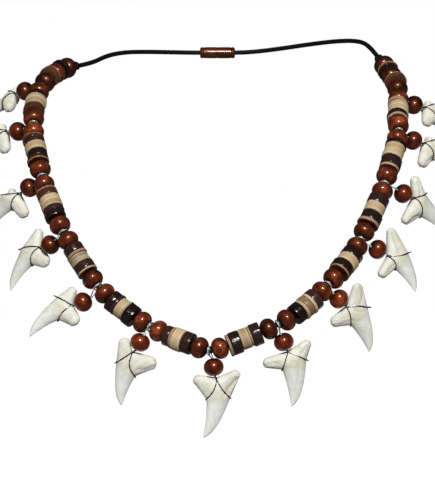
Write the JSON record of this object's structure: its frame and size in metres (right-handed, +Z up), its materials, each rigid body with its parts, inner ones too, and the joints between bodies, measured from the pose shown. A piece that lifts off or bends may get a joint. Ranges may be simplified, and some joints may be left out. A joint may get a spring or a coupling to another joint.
{
  "type": "shark tooth necklace",
  "caption": "Necklace of shark teeth hung on wires and round beads from a string of wooden beads and discs, with a bare cord and a plain clasp at the nape, in its worn form.",
  "frame": {"origin": "at the nape, on the neck's side of the clasp", "axes": "+X to the viewer's right, -Y to the front and +Z up; the necklace hangs as it is worn"},
  "size_m": [0.1859, 0.1562, 0.1518],
  "materials": {
    "tooth": "satin enamel, matte root",
    "drop_wood": "polished dark red wood",
    "round_wood": "polished red-brown wood",
    "dark_disc": "polished near-black shell",
    "pale_disc": "satin tan shell",
    "wire": "dull steel wire",
    "cord": "waxed black cord",
    "knot": "tied black cord",
    "clasp": "polished dark wood"
  },
  "bodies": {
    "root": {"tooth_01": "tooth", "tooth_02": "tooth", "tooth_03": "tooth", "tooth_04": "tooth", "tooth_05": "tooth", "tooth_06": "tooth", "tooth_07": "tooth", "tooth_08": "tooth", "tooth_09": "tooth", "tooth_10": "tooth", "tooth_11": "tooth", "tooth_12": "tooth", "tooth_13": "tooth", "drop_bead_01": "drop_wood", "drop_bead_02": "drop_wood", "drop_bead_03": "drop_wood", "drop_bead_04": "drop_wood", "drop_bead_05": "drop_wood", "drop_bead_06": "drop_wood", "drop_bead_07": "drop_wood", "drop_bead_08": "drop_wood", "drop_bead_09": "drop_wood", "drop_bead_10": "drop_wood", "drop_bead_11": "drop_wood", "drop_bead_12": "drop_wood", "drop_bead_13": "drop_wood", "tooth_wire_01": "wire", "tooth_wire_02": "wire", "tooth_wire_03": "wire", "tooth_wire_04": "wire", "tooth_wire_05": "wire", "tooth_wire_06": "wire", "tooth_wire_07": "wire", "tooth_wire_08": "wire", "tooth_wire_09": "wire", "tooth_wire_10": "wire", "tooth_wire_11": "wire", "tooth_wire_12": "wire", "tooth_wire_13": "wire", "round_beads": "round_wood", "dark_discs": "dark_disc", "pale_discs": "pale_disc", "bead_cord": "cord", "end_knot_left": "knot", "end_knot_right": "knot", "neck_cord_left": "cord", "neck_cord_right": "cord", "barrel_clasp": "clasp"}
  },
  "joints": []
}
